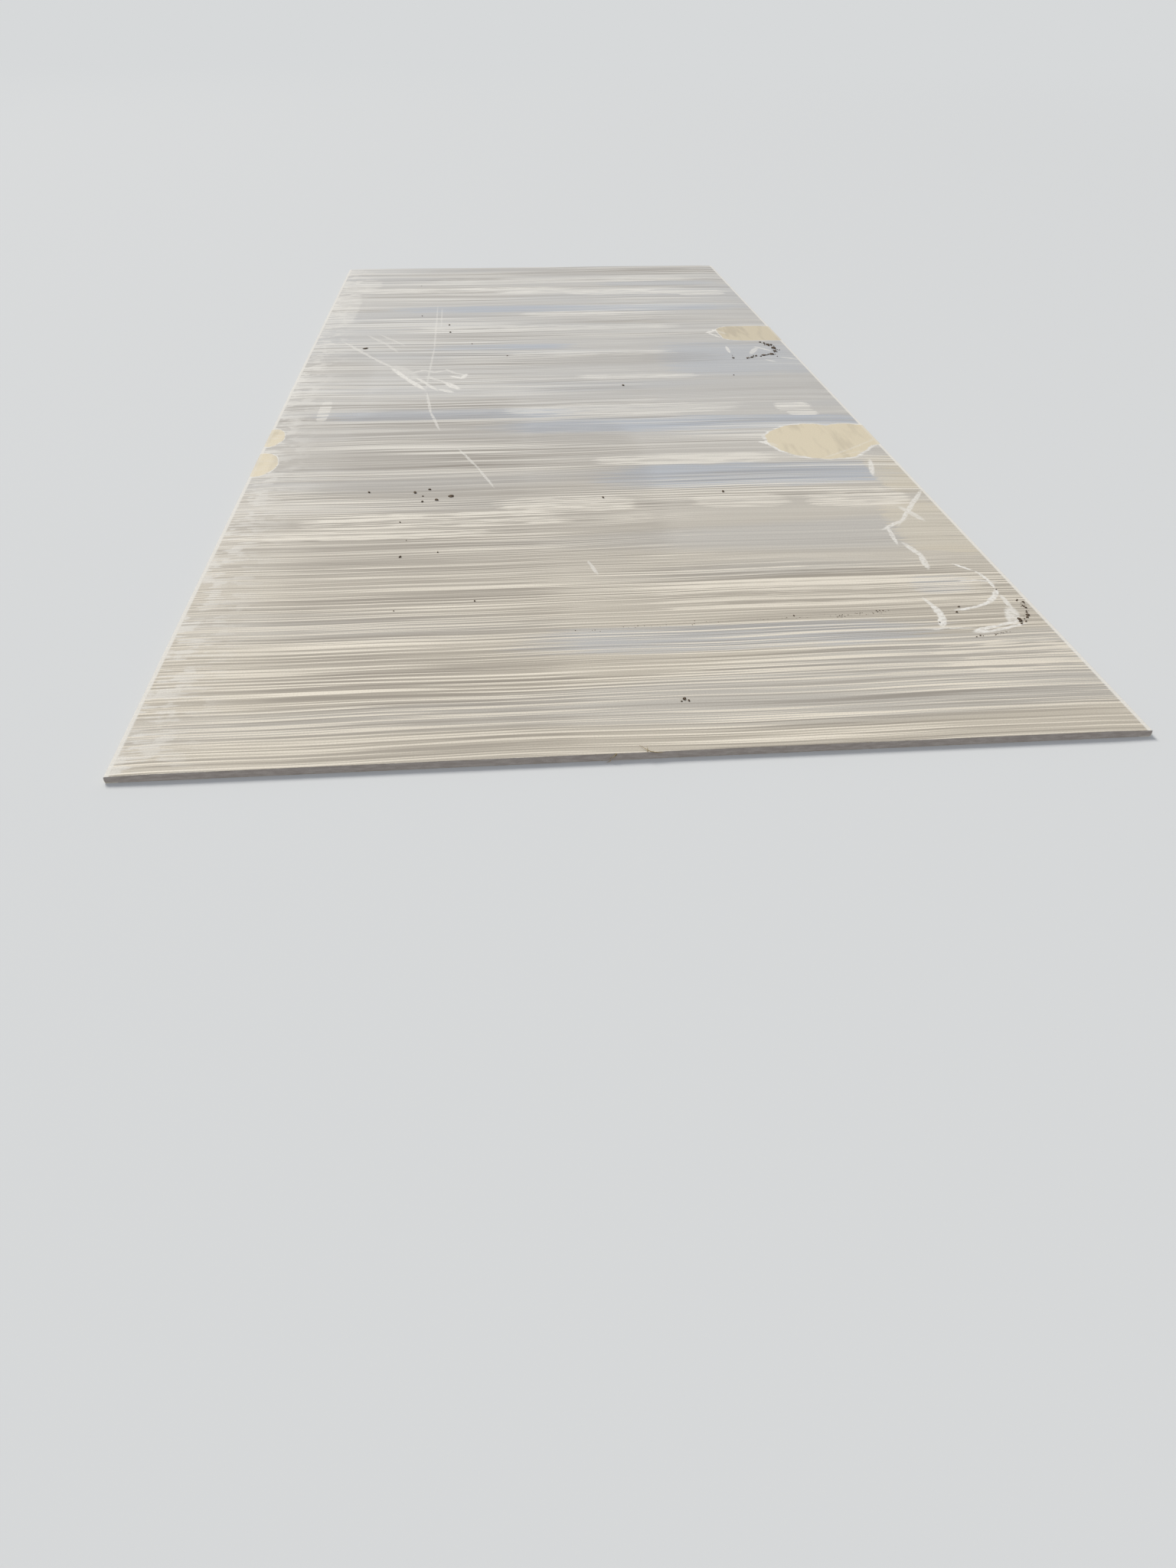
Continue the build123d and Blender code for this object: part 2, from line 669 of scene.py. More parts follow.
    def rubbed(self, bench: Bench, flat: Socket, across: Socket, dashes: Socket, fray: Socket) -> Socket:
        """The rubbed marks in their measured places, the pale left margin, and a painted highlight along the
        long edges.

        Args:
            bench: The material's nodes.
            flat: The coordinates in millimetres.
            across: The place across the sheet, in metres from its middle.
            dashes: Short strokes of noise.
            fray: Cloudy noise.

        Returns:
            The mask.
        """
        scratchy = bench.noise(bench.place, (110.0, 190.0), 1.0, 0.7)
        wander = bench.add("ShaderNodeCombineXYZ", [bench.times(scratchy, 3.6), bench.times(fray, 9.0)])
        moved = bench.vector("ADD", flat, wander.outputs[0])
        moved = bench.vector("SUBTRACT", moved, (1.8, 4.5, 0))
        marks = FINGER_WIPES + DRAG_LINES + THIN_SCRATCHES + CORNER_SCUFFS
        rubbed = bench.marks(marks, moved, None, 0.5)
        broken = bench.between(scratchy, 0.34, 0.54, 0.55, 1.0)
        # Scuffs along the left margin, drawn as pale dashes that are partly painted highlight
        margin = bench.between(across, *self.left_margin, 0.0, 0.65)
        margin = bench.times(margin, bench.between(bench.plus(fray, dashes), 1.0, 1.12))
        # A thin painted highlight along both long edges
        rims = bench.between(bench.math("ABSOLUTE", across), *self.highlit_rims, 0.0, 0.85)
        scuffs_and_highlight = bench.strongest(margin, rims)
        return bench.strongest(bench.times(rubbed, broken), scuffs_and_highlight)

    def material(self) -> bpy.types.Material:
        """Builds the paper's material.

        Returns:
            The material.
        """
        bench = Bench("face_paper")
        axes = bench.add("ShaderNodeSeparateXYZ", [bench.place])
        nearness = bench.between(axes.outputs["Y"], *self.near_part)
        flat = bench.vector("MULTIPLY_ADD", bench.place, (1 / MM, 1 / MM, 0), (0, 0, 1))
        streaks = Streaks.across(bench)
        tone = self.veil_tone(bench, flat, streaks, nearness)

        # Bare paper, with a chalky rim and faint drag marks
        fray = bench.noise(bench.place, (26.0, 30.0), 2.0, 0.6)
        ragged = bench.swing(fray, 0.35)
        border = bench.plus(bench.nearest(BARE_PATCHES, flat), ragged)
        bare = bench.between(border, 1.03, 0.97)
        rim = bench.between(border, 1.16, 1.06)
        tone = bench.wash(tone, self.chalk_and_highlight, rim, bench.between(streaks.dashes, 0.4, 0.52))
        drag = bench.between(bench.noise(bench.place, (34.0, 7.0), 2.0, 0.6), 0.48, 0.74, 0.0, 0.2)
        drag = bench.plus(drag, bench.between(nearness, 0.0, 0.2, 0.15, 0.0))
        tone = bench.blend(bare, tone, bench.blend(drag, self.bare, self.shade))
        # Chalk over the rubbed marks and the left margin, and a painted highlight along the long edges, all
        # fainter on bare paper
        rubbed = self.rubbed(bench, flat, axes.outputs["X"], streaks.dashes, fray)
        rubbed = bench.times(rubbed, bench.between(bare, 0.0, 1.0, 1.0, 0.35))
        tone = bench.blend(rubbed, tone, self.chalk_and_highlight)

        # Paper fibre and scattered dirt
        fibre = bench.noise(bench.place, (420.0, 700.0), 1.0, 0.7)
        tone = bench.stain(tone, self.shade, fibre, (0.35, 0.7), 0.14)
        tone = bench.wash(tone, self.dirt, bench.specks(26.0, 0.8 * MM, 0.16), 0.8)

        # The edge and the lap on the back are clean paper
        tone = bench.blend(bench.between(axes.outputs["Z"], *self.veil_rise), self.bare, tone)

        roughness = bench.between(bench.plus(streaks.lines, rubbed), 0.3, 1.2, 0.62, 0.85)
        height = bench.plus(streaks.bands, bench.times(streaks.lines, 0.6))
        height = bench.plus(height, bench.times(fibre, 0.2))
        return bench.finish(tone, roughness, bench.bump(height, self.relief), self.gloss)


@dataclass(frozen=True)
class BackPaperFinish:
    """Grey-brown liner of recycled paper with short fibres, faint rolling lines and soft clouds."""

    base: Colour = srgb(178, 165, 146)
    dark: Colour = srgb(146, 132, 113)
    light: Colour = srgb(204, 194, 177)
    relief: float = 0.12 * MM
    gloss: float = 0.2

    def material(self) -> bpy.types.Material:
        """Builds the liner's material.

        Returns:
            The material.
        """
        bench = Bench("back_paper")
        clouds = bench.noise(bench.place, (5.0, 2.0), 3.0)
        fibre = bench.noise(bench.place, (520.0, 190.0), 3.0, 0.7)
        lines = bench.noise(bench.place, (160.0, 1.2), 2.0)
        tone = bench.stain(self.base, self.dark, clouds, (0.38, 0.66), 0.3)
        tone = bench.stain(tone, self.light, lines, (0.52, 0.7), 0.22)
        tone = bench.stain(tone, self.dark, lines, (0.46, 0.3), 0.18)
        tone = bench.stain(tone, self.light, fibre, (0.5, 0.72), 0.5)
        tone = bench.stain(tone, self.dark, fibre, (0.47, 0.28), 0.5)
        tone = bench.wash(tone, self.dark, bench.specks(60.0, 0.5 * MM, 0.3), 0.5)
        roughness = bench.between(fibre, 0.2, 0.8, 0.78, 0.92)
        return bench.finish(tone, roughness, bench.bump(fibre, self.relief), self.gloss)


@dataclass(frozen=True)
class GypsumFinish:
    """Cut gypsum: pinkish grey, chalky, with air pits. Its tones are darker than the gypsum's own, with
    painted shade of the cut ends in them, and the pits are painted dark with shade.
    """

    # Set partly down towards the cut ends' look in shade: painted shade in the gypsum's tones
    base: Colour = srgb(180, 169, 160)
    pale: Colour = srgb(200, 190, 181)
    dull: Colour = srgb(152, 141, 132)
    # Painted shade inside the air pits
    pit_shade: Colour = srgb(90, 80, 74)
    relief: float = 0.25 * MM
    pit_depth: float = 0.5 * MM
    roughness: float = 0.9
    gloss: float = 0.15

    def material(self) -> bpy.types.Material:
        """Builds the core's material.

        Returns:
            The material.
        """
        bench = Bench("gypsum_core")
        clouds = bench.noise(bench.place, (60.0, 60.0, 300.0), 4.0, 0.6)
        grain = bench.noise(bench.place, (900.0, 900.0, 900.0), 3.0, 0.7)
        tone = bench.stain(self.base, self.pale, clouds, (0.35, 0.65))
        tone = bench.stain(tone, self.dull, grain, (0.5, 0.3), 0.5)
        # Air pits, painted dark with the shade inside them and dented by a bump
        pits = bench.strongest(bench.specks(110.0, 0.75 * MM, 0.3), bench.specks(330.0, 0.35 * MM, 0.4))
        tone = bench.wash(tone, self.pit_shade, pits, 0.75)
        rough = bench.bump(grain, self.relief)
        pitted = bench.bump(bench.math("SUBTRACT", 1.0, pits), self.pit_depth)
        bench.join(rough, pitted.node.inputs["Normal"])
        return bench.finish(tone, self.roughness, pitted, self.gloss)


@dataclass(frozen=True)
class LooseFinish:
    """The finish of something small that lies on the sheet, mottled in two tones.

    Attributes:
        grains: How many grains there are to a metre.
        detail: Octaves of the grain.
        limits: The values of the grain between which the base tone goes over into the second.
    """

    name: str
    base: Colour
    second: Colour
    grains: float
    detail: float
    limits: Point
    relief: float
    roughness: float
    gloss: float

    def material(self) -> bpy.types.Material:
        """Builds the material.

        Returns:
            The material.
        """
        bench = Bench(self.name)
        grain = bench.noise(bench.place, (self.grains, self.grains, self.grains), self.detail, 0.6)
        tone = bench.stain(self.base, self.second, grain, self.limits)
        return bench.finish(tone, self.roughness, bench.bump(grain, self.relief), self.gloss)


DRY_SOIL = LooseFinish(
    name="soil", base=srgb(84, 72, 62), second=srgb(148, 130, 110), grains=700.0, detail=3.0,
    limits=(0.42, 0.7), relief=0.4 * MM, roughness=0.95, gloss=0.1,
)
TORN_FIBRE = LooseFinish(
    name="paper_fibre", base=srgb(198, 178, 136), second=srgb(122, 102, 72), grains=500.0, detail=2.0,
    limits=(0.4, 0.65), relief=0.1 * MM, roughness=0.85, gloss=0.2,
)


# The board's pieces


@dataclass
class Section:
    """The outline of the board's cut end, taken from the CAD node so that every layer fits it.

    Attributes:
        column: The widest that a face of the core or the face paper is.
        row: The highest that a face of the cut core is.
        weld: How close corners are that are merged.
        rim: How close to a cut end a corner is that is roughened with it.
        crease: The angle past which an edge stays sharp, in degrees.
        upper: The share of the height above which a corner belongs to the face.
    """

    node: Piece
    paper: float = 0.4 * MM
    column: float = 2.0 * MM
    row: float = 1.4 * MM
    weld: float = 1e-6
    rim: float = 0.1 * MM
    crease: float = 40.0
    upper: float = 0.6
    low: Vector = field(init=False)
    high: Vector = field(init=False)

    def __post_init__(self) -> None:
        """Reads the board's box."""
        self.low, self.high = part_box(CAD_NODE)

    @property
    def length(self) -> float:
        """The board's length."""
        return self.high.y - self.low.y

    def across(self, place: Vector) -> float:
        """How far a place lies from the left long edge, as a share of the width."""
        return (place.x - self.low.x) / (self.high.x - self.low.x)

    def along(self, place: Vector) -> float:
        """How far a place lies from the near end, as a share of the length."""
        return (place.y - self.low.y) / self.length

    def rows(self, insets: Sequence[float], *middle: float) -> list[float]:
        """Places along the board at some distances from both ends, and in the middle if wanted."""
        return [self.low.y + i for i in insets] + [*middle] + [self.high.y - i for i in insets]

    def end_face(self, name: str) -> Piece:
        """A flat copy of the near cut end, as one face.

        Args:
            name: The new piece's name.

        Returns:
            The piece, which lies at the near end and has no materials.
        """
        mesh = self.node.data.copy()
        mesh.materials.clear()
        mesh.name = name
        piece = bring_in(name, mesh)
        with editing(piece):
            bpy.ops.mesh.remove_doubles(threshold=self.weld)
            delete_faces(piece, lambda face: face.normal.y > -0.9)
            bpy.ops.mesh.select_all(action="SELECT")
            bpy.ops.mesh.dissolve_faces(use_verts=False)
        return piece

    def face_height(self, x: float) -> float:
        """The height of the face.

        Args:
            x: How far across the board from its middle.

        Returns:
            The height there.
        """
        corners = (corner.co for corner in self.node.data.vertices)
        upper = sorted((place.x, place.z) for place in corners if place.z > self.upper * self.high.z)
        for (x0, z0), (x1, z1) in zip(upper, upper[1:]):
            if x0 <= x <= x1 and x1 > x0:
                return z0 + (z1 - z0) * (x - x0) / (x1 - x0)
        return upper[0][1]

    def carry_along(self, piece: Piece) -> None:
        """Extrudes a flat end face over the board's length, to the far end.

        Args:
            piece: The piece, in object mode.
        """
        with editing(piece):
            bpy.ops.mesh.extrude_region_move(TRANSFORM_OT_translate={"value": (0, self.length, 0)})
            bpy.ops.mesh.select_all(action="SELECT")
            bpy.ops.mesh.normals_make_consistent(inside=False)

    def roughen_ends(self, piece: Piece, *grains: Grain) -> None:
        """Roughens a piece at both cut ends, and shades it.

        Args:
            piece: The piece, in object mode.
            grains: What it is roughened by.
        """
        group = piece.vertex_groups.new(name="cut_ends")
        for corner in piece.data.vertices:
            if min(corner.co.y - self.low.y, self.high.y - corner.co.y) < self.rim:
                group.add([corner.index], 1.0, "REPLACE")
        for grain in grains:
            grain.roughen(piece, group.name)
        smooth(piece, self.crease)


def dress(piece: Piece, material: bpy.types.Material) -> Piece:
    """Gives a finished piece its material and its body.

    Args:
        piece: The piece, in place.
        material: Its finish.

    Returns:
        The same piece.
    """
    piece.data.materials.clear()
    piece.data.materials.append(material)
    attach(piece, BODY)
    return piece


def lay_map(piece: Piece, spot: Callable[[Polygon, Vector], Point]) -> None:
    """Lays out the piece's map, under the name MAP_NAME.

    Args:
        piece: The finished piece.
        spot: Takes a face and one of its corners, and gives the corner's spot on the map.
    """
    mesh = piece.data
    while mesh.uv_layers:
        mesh.uv_layers.remove(mesh.uv_layers[0])
    layer = mesh.uv_layers.new(name=MAP_NAME)
    for face in mesh.polygons:
        for loop in face.loop_indices:
            layer.uv[loop].vector = spot(face, mesh.vertices[mesh.loops[loop].vertex_index].co)


def kept_in(share: float, margin: float) -> float:
    """A share from 0 to 1, drawn in by a margin at both ends."""
    return margin + (1 - 2 * margin) * share


@dataclass
class GypsumCore:
    """The board's core, which shows at both cut ends. Each end takes some rows on its map."""

    section: Section
    finish: GypsumFinish = GypsumFinish()
    map_rows: int = 8
    side_margin: float = 0.01
    row_margin: float = 0.06
    roughness: Grain = Grain("cut_gypsum", 2.6 * MM, 0.35 * MM, 4)
    chips: Grain = Grain("chipped_gypsum", 30.0 * MM, 0.3 * MM, 1)

    def build(self) -> Piece:
        """Models and dresses the core.

        Returns:
            The piece.
        """
        shape = self.section
        piece = shape.end_face("gypsum_core")
        with editing(piece):
            bpy.ops.mesh.inset(thickness=shape.paper, use_even_offset=True)
            bpy.ops.mesh.select_all(action="INVERT")
            bpy.ops.mesh.delete(type="FACE")
            cut_across(Way.ACROSS, spread(shape.low.x, shape.high.x, shape.column))
            cut_across(Way.UP, spread(shape.low.z, shape.high.z, shape.row))
        shape.carry_along(piece)
        shape.roughen_ends(piece, self.roughness, self.chips)
        lay_map(piece, self.spot)
        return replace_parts(dress(piece, self.finish.material()), CAD_NODE)

    def spot(self, face: Polygon, corner: Vector) -> Point:
        """Where a corner lies on the map: each cut end in short rows, and the hidden sides below them.

        Args:
            face: One of the core's faces.
            corner: One of its corners.

        Returns:
            The spot, from 0 to 1 both ways.
        """
        shape, rows = self.section, self.map_rows
        height = 1 / (2 * rows + 1)
        if abs(face.normal.y) < 0.5:
            return shape.across(corner), height * kept_in(shape.along(corner), self.row_margin)
        row = min(int(shape.across(face.center) * rows), rows - 1)
        past = shape.across(corner) * rows - row
        row += 1 if face.center.y < 0 else 1 + rows
        up = kept_in(corner.z / shape.high.z, self.row_margin)
        return kept_in(past, self.side_margin), height * (row + up)


class Strip(Enum):
    """Where each part of the face paper lies on its map: its left, right, bottom and top."""

    NEAR_HALF = (0.004, 0.484, 0.05, 0.99)
    FAR_HALF = (0.492, 0.972, 0.05, 0.99)
    UNDER_FACE = (0.01, 0.96, 0.002, 0.010)
    INSIDE = (0.01, 0.96, 0.014, 0.022)
    NEAR_RIM = (0.01, 0.96, 0.024, 0.030)
    FAR_RIM = (0.01, 0.96, 0.032, 0.038)
    LEFT_EDGE = (0.976, 0.980, 0.05, 0.99)
    LEFT_LAP = (0.981, 0.986, 0.05, 0.99)
    RIGHT_EDGE = (0.988, 0.992, 0.05, 0.99)
    RIGHT_LAP = (0.993, 0.998, 0.05, 0.99)

    def spot(self, across: float, up: float) -> Point:
        """The spot at a share of the strip's width and of its height."""
        left, right, bottom, top = self.value
        return left + (right - left) * across, bottom + (top - bottom) * up


@dataclass
class FacePaper:
    """The face paper, folded round both long edges and glued down on the back.

    Attributes:
        lap: How wide the paper lies on the back.
        insets: How far from both ends it is cut across, to carry its fray.
        level: How much of its normal points up or down where a face counts as level.
        face_part: The share of the height above which it belongs to the board's face.
    """

    section: Section
    finish: FacePaperFinish = FacePaperFinish()
    lap: float = 14.0 * MM
    insets: Place = (0.8 * MM, 2.5 * MM, 12 * MM)
    level: float = 0.7
    face_part: float = 0.8
    fray: Grain = Grain("frayed_paper", 1.6 * MM, 0.9 * MM, 4)

    def build(self) -> Piece:
        """Models and dresses the face paper.

        Returns:
            The piece.
        """
        shape = self.section
        lap_line = shape.high.x - self.lap
        piece = shape.end_face("face_paper")
        with editing(piece):
            bpy.ops.mesh.inset(thickness=shape.paper, use_even_offset=True)
            bpy.ops.mesh.delete(type="FACE")
            cut_across(Way.ACROSS, (-lap_line, lap_line))
            delete_faces(piece, lambda face: self.under_back_paper(face.calc_center_median(), lap_line))
            cut_across(Way.ACROSS, spread(shape.low.x, shape.high.x, shape.column))
        shape.carry_along(piece)
        with editing(piece):
            cut_across(Way.ALONG, shape.rows(self.insets, 0.0))
        shape.roughen_ends(piece, self.fray)
        lay_map(piece, self.spot)
        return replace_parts(dress(piece, self.finish.material()), CAD_NODE)

    def spot(self, face: Polygon, corner: Vector) -> Point:
        """Where a corner lies on the map: the face in two halves side by side, and strips for the rest.

        Args:
            face: One of the paper's faces.
            corner: One of its corners.

        Returns:
            The spot, from 0 to 1 both ways.
        """
        shape = self.section
        across, along, up = shape.across(corner), shape.along(corner), corner.z / shape.high.z
        far, right = face.center.y > 0, face.center.x > 0
        high = face.center.z > self.face_part * shape.high.z
        level, rising = abs(face.normal.z) > self.level, face.normal.z > 0
        if abs(face.normal.y) > 0.5:
            return (Strip.FAR_RIM if far else Strip.NEAR_RIM).spot(across, up)
        if level and high and rising:
            return (Strip.FAR_HALF if far else Strip.NEAR_HALF).spot(across, 2 * along - far)
        if level and high:
            return Strip.UNDER_FACE.spot(across, along)
        if rising if level else (face.normal.x > 0) != right:
            return (Strip.UNDER_FACE if high else Strip.INSIDE).spot(across, along)
        if level:
            inward = (shape.high.x - abs(corner.x)) / self.lap
            return (Strip.RIGHT_LAP if right else Strip.LEFT_LAP).spot(inward, along)
        return (Strip.RIGHT_EDGE if right else Strip.LEFT_EDGE).spot(up, along)

    def under_back_paper(self, centre: Vector, lap_line: float) -> bool:
        """Whether a face of the ring lies on the back between the two laps."""
        return centre.z < self.section.paper and abs(centre.x) < lap_line


@dataclass
class BackPaper:
    """The back liner, glued down between the two laps of the face paper, with a small gap to both."""

    section: Section
    lap: float = 14.0 * MM
    gap: float = 0.6 * MM
    insets: Point = (0.8 * MM, 2.5 * MM)
    column: float = 6.0 * MM
    finish: BackPaperFinish = BackPaperFinish()
    fray: Grain = Grain("frayed_liner", 1.8 * MM, 0.9 * MM, 4)

    def build(self) -> Piece:
        """Models and dresses the back liner.

        Returns:
            The piece.
        """
        shape = self.section
        half = shape.high.x - self.lap - self.gap
        bpy.ops.object.select_all(action="DESELECT")
        bpy.ops.mesh.primitive_cube_add(size=1, location=(0, 0, shape.paper / 2))
        piece = bpy.context.object
        piece.name = piece.data.name = "back_paper"
        piece.scale = (2 * half, shape.length, shape.paper)
        bpy.ops.object.transform_apply()
        with editing(piece):
            cut_across(Way.ACROSS, spread(-half, half, self.column))
            cut_across(Way.ALONG, shape.rows(self.insets))
        shape.roughen_ends(piece, self.fray)
        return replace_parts(dress(piece, self.finish.material()), CAD_NODE)


# What lies on the sheet


@dataclass(frozen=True)
class Crumb:
    """One crumb of soil on the face, in millimetres from the middle of the sheet."""

    x: float
    y: float
    width: float


SINGLE_CRUMBS = tuple(Crumb(*row) for row in (
    (-464, 376, 13), (-337, 703, 4), (-256, 522, 5), (-260, 599, 6), (-199, 405, 4), (-113, 289, 4),
    (141, 30, 6), (-355, 1086, 3), (-377, -562, 5), (-297, -568, 7), (-272, -556, 5), (-234, -589, 9),
    (-259, -603, 7), (-283, -585, 4), (-283, -609, 5), (-316, -693, 4), (-302, -764, 3), (-308, -824, 5),
    (-251, -811, 4), (-194, -975, 4), (-307, -996, 3), (28, -612, 5), (241, -600, 6), (249, -1050, 3),
    (61, -1246, 5), (66, -1250, 4), (57, -1251, 3), (536, 373, 7), (550, 352, 9), (556, 322, 11),
    (554, 290, 10), (538, 263, 11), (517, 254, 9), (497, 249, 8), (483, 237, 9), (471, 230, 7),
    (437, 234, 5), (548, 242, 4), (568, 300, 4), (408, 93, 4), (582, -1025, 3), (588, -1032, 4),
    (582, -1042, 3), (584, -1049, 4), (579, -1063, 3), (577, -1071, 5), (573, -1077, 4), (559, -1082, 8),
    (558, -1088, 5), (566, -1088, 4), (557, -1094, 4), (489, -1041, 4), (480, -1056, 4), (480, -1125, 3),
    (486, -1122, 3), (490, -1123, 2), (445, -1083, 3), (565, -993, 3),
))


@dataclass(frozen=True)
class CrumbTrail:
    """A line of small crumbs, in millimetres from the middle of the sheet.

    Attributes:
        points: The corners of the line.
        count: How many crumbs lie along it.
        widths: The smallest and the largest crumb.
        scatter: How far a crumb lies from the line.
    """

    points: tuple[Point, ...]
    count: int
    widths: Point
    scatter: float

    def crumbs(self, dice: random.Random) -> list[Crumb]:
        """Drops the crumbs along the line.

        Args:
            dice: The seeded source of chance.

        Returns:
            The crumbs.
        """
        found = []
        low, high = self.widths
        for _ in range(self.count):
            leg = dice.randrange(len(self.points) - 1)
            (ax, ay), (bx, by) = self.points[leg], self.points[leg + 1]
            share = dice.random()
            x = ax + (bx - ax) * share + dice.gauss(0, self.scatter)
            y = ay + (by - ay) * share + dice.gauss(0, self.scatter)
            found.append(Crumb(x, y, low + (high - low) * dice.random() ** 2))
        return found


CRUMB_TRAILS = (
    CrumbTrail(((582, -1025), (587, -1040), (581, -1058), (575, -1075), (560, -1090)), 40, (1.0, 3.5), 2.2),
    CrumbTrail(((533, -1114), (504, -1121), (481, -1123)), 22, (0.8, 2.4), 1.2),
    CrumbTrail(
        ((540, 370), (552, 350), (557, 322), (555, 290), (538, 262), (515, 253)), 60, (1.5, 6.5), 4.5
    ),
    CrumbTrail(((515, 253), (497, 248), (483, 237), (470, 230)), 26, (1.2, 5.0), 3.5),
    CrumbTrail(((440, 236), (438, 303)), 9, (1.0, 3.0), 4.0),
    CrumbTrail(
        ((-61, -1073), (48, -1061), (183, -1057), (303, -1054), (384, -1046)), 90, (0.6, 1.8), 3.0
    ),
    CrumbTrail(((302, -1059), (343, -1051), (384, -1044)), 36, (0.8, 2.6), 2.0),
)


@dataclass
class SoilCrumbs:
    """The loose soil on the face, joined into one piece.

    Attributes:
        shapes: How many lumps are modelled, for the large crumbs and for the small ones.
        large: The width past which a crumb is modelled more finely, in millimetres.
        knock: How far a lump's corners are knocked about, as a share of its width.
        flatness: A crumb's height as a share of its width.
        slimness: The least and the most of its length as a share of its width.
        lift: How far its middle lies above the face, as a share of its height.
        crease: The angle past which an edge stays sharp, in degrees.
    """

    section: Section
    finish: LooseFinish = DRY_SOIL
    seed: int = 7
    shapes: int = 4
    large: float = 4.5
    knock: float = 0.16
    tallest: float = 2.6 * MM
    flatness: float = 0.5
    slimness: Point = (0.5, 0.9)
    lift: float = 0.42
    sunk: float = 0.15 * MM
    edge_gap: float = 3 * MM
    crease: float = 35.0

    def model(self, detail: int, number: int) -> Piece:
        """Models one knocked-about lump of unit size, to be copied.

        Args:
            detail: How finely its faces are divided.
            number: Which of the shapes it is.

        Returns:
            The lump.
        """
        bpy.ops.object.select_all(action="DESELECT")
        bpy.ops.mesh.primitive_ico_sphere_add(subdivisions=detail, radius=0.5)
        lump = bpy.context.object
        with editing(lump):
            bpy.ops.transform.vertex_random(
                offset=self.knock, uniform=0.5, normal=0.5, seed=self.seed + number
            )
        return lump

    def lay(self, crumb: Crumb, model: Piece, dice: random.Random) -> Piece:
        """Lays a flattened copy of a lump on the face.

        Args:
            crumb: Where it lies and how wide it is.
            model: The lump.
            dice: The seeded source of chance.

        Returns:
            The copy.
        """
        lump = bring_in("crumb", model.data.copy())
        x, width = crumb.x * MM, crumb.width * MM
        height = min(self.tallest, self.flatness * width)
        lump.location = (x, crumb.y * MM, self.section.face_height(x) + self.lift * height - self.sunk)
        lump.rotation_euler = (0, 0, dice.uniform(0, math.tau))
        lump.scale = (width, width * dice.uniform(*self.slimness), height)
        return lump

    def build(self) -> Piece:
        """Models all the crumbs and joins them.

        Returns:
            The piece.
        """
        dice = random.Random(self.seed)
        crumbs = list(SINGLE_CRUMBS)
        for trail in CRUMB_TRAILS:
            crumbs += trail.crumbs(dice)
        small, fine = ([self.model(detail, number) for number in range(self.shapes)] for detail in (1, 2))
        lumps = [
            self.lay(crumb, dice.choice(fine if crumb.width > self.large else small), dice)
            for crumb in crumbs
            if abs(crumb.x * MM) < self.section.high.x - self.edge_gap
        ]
        for model in small + fine:
            bpy.data.objects.remove(model)
        make_active(lumps[0], lumps[1:])
        bpy.ops.object.transform_apply()
        bpy.ops.object.join()
        piece = bpy.context.object
        piece.name = piece.data.name = "soil_crumbs"
        smooth(piece, self.crease)
        return dress(piece, self.finish.material())


@dataclass(frozen=True)
class Fibre:
    """One torn fibre, as points in millimetres.

    Attributes:
        points: Its line, from its root in the paper's rim.
        width: Its thickness at the root, in millimetres.
    """

    points: tuple[Place, ...]
    width: float


# Tufts that stand out at the near end, from its middle on the rim of the face
NEAR_TUFTS = (
    Fibre(((8, 0, -0.2), (3, -1, 1.2), (-2, 5, 2.2), (-7, 12, 1.2)), 1.1),
    Fibre(((1, 0, -0.2), (2, 3, 1.5), (1, 9, 2.4)), 0.8),
    Fibre(((8, 0, -0.1), (14, -1.5, -1.0), (19, -1.0, -0.6)), 0.9),
    Fibre(((-34, 0, -0.2), (-37, -2.5, -2), (-43, -3.5, -4.5), (-41, -3, -7.5)), 1.0),
    Fibre(((-34, 0, -0.3), (-35, -2.0, -3), (-39, -2.6, -5)), 0.8),
    Fibre(((-41, -3, -7.5), (-44, -4.5, -8.3), (-46, -4, -8.6)), 0.9),
)


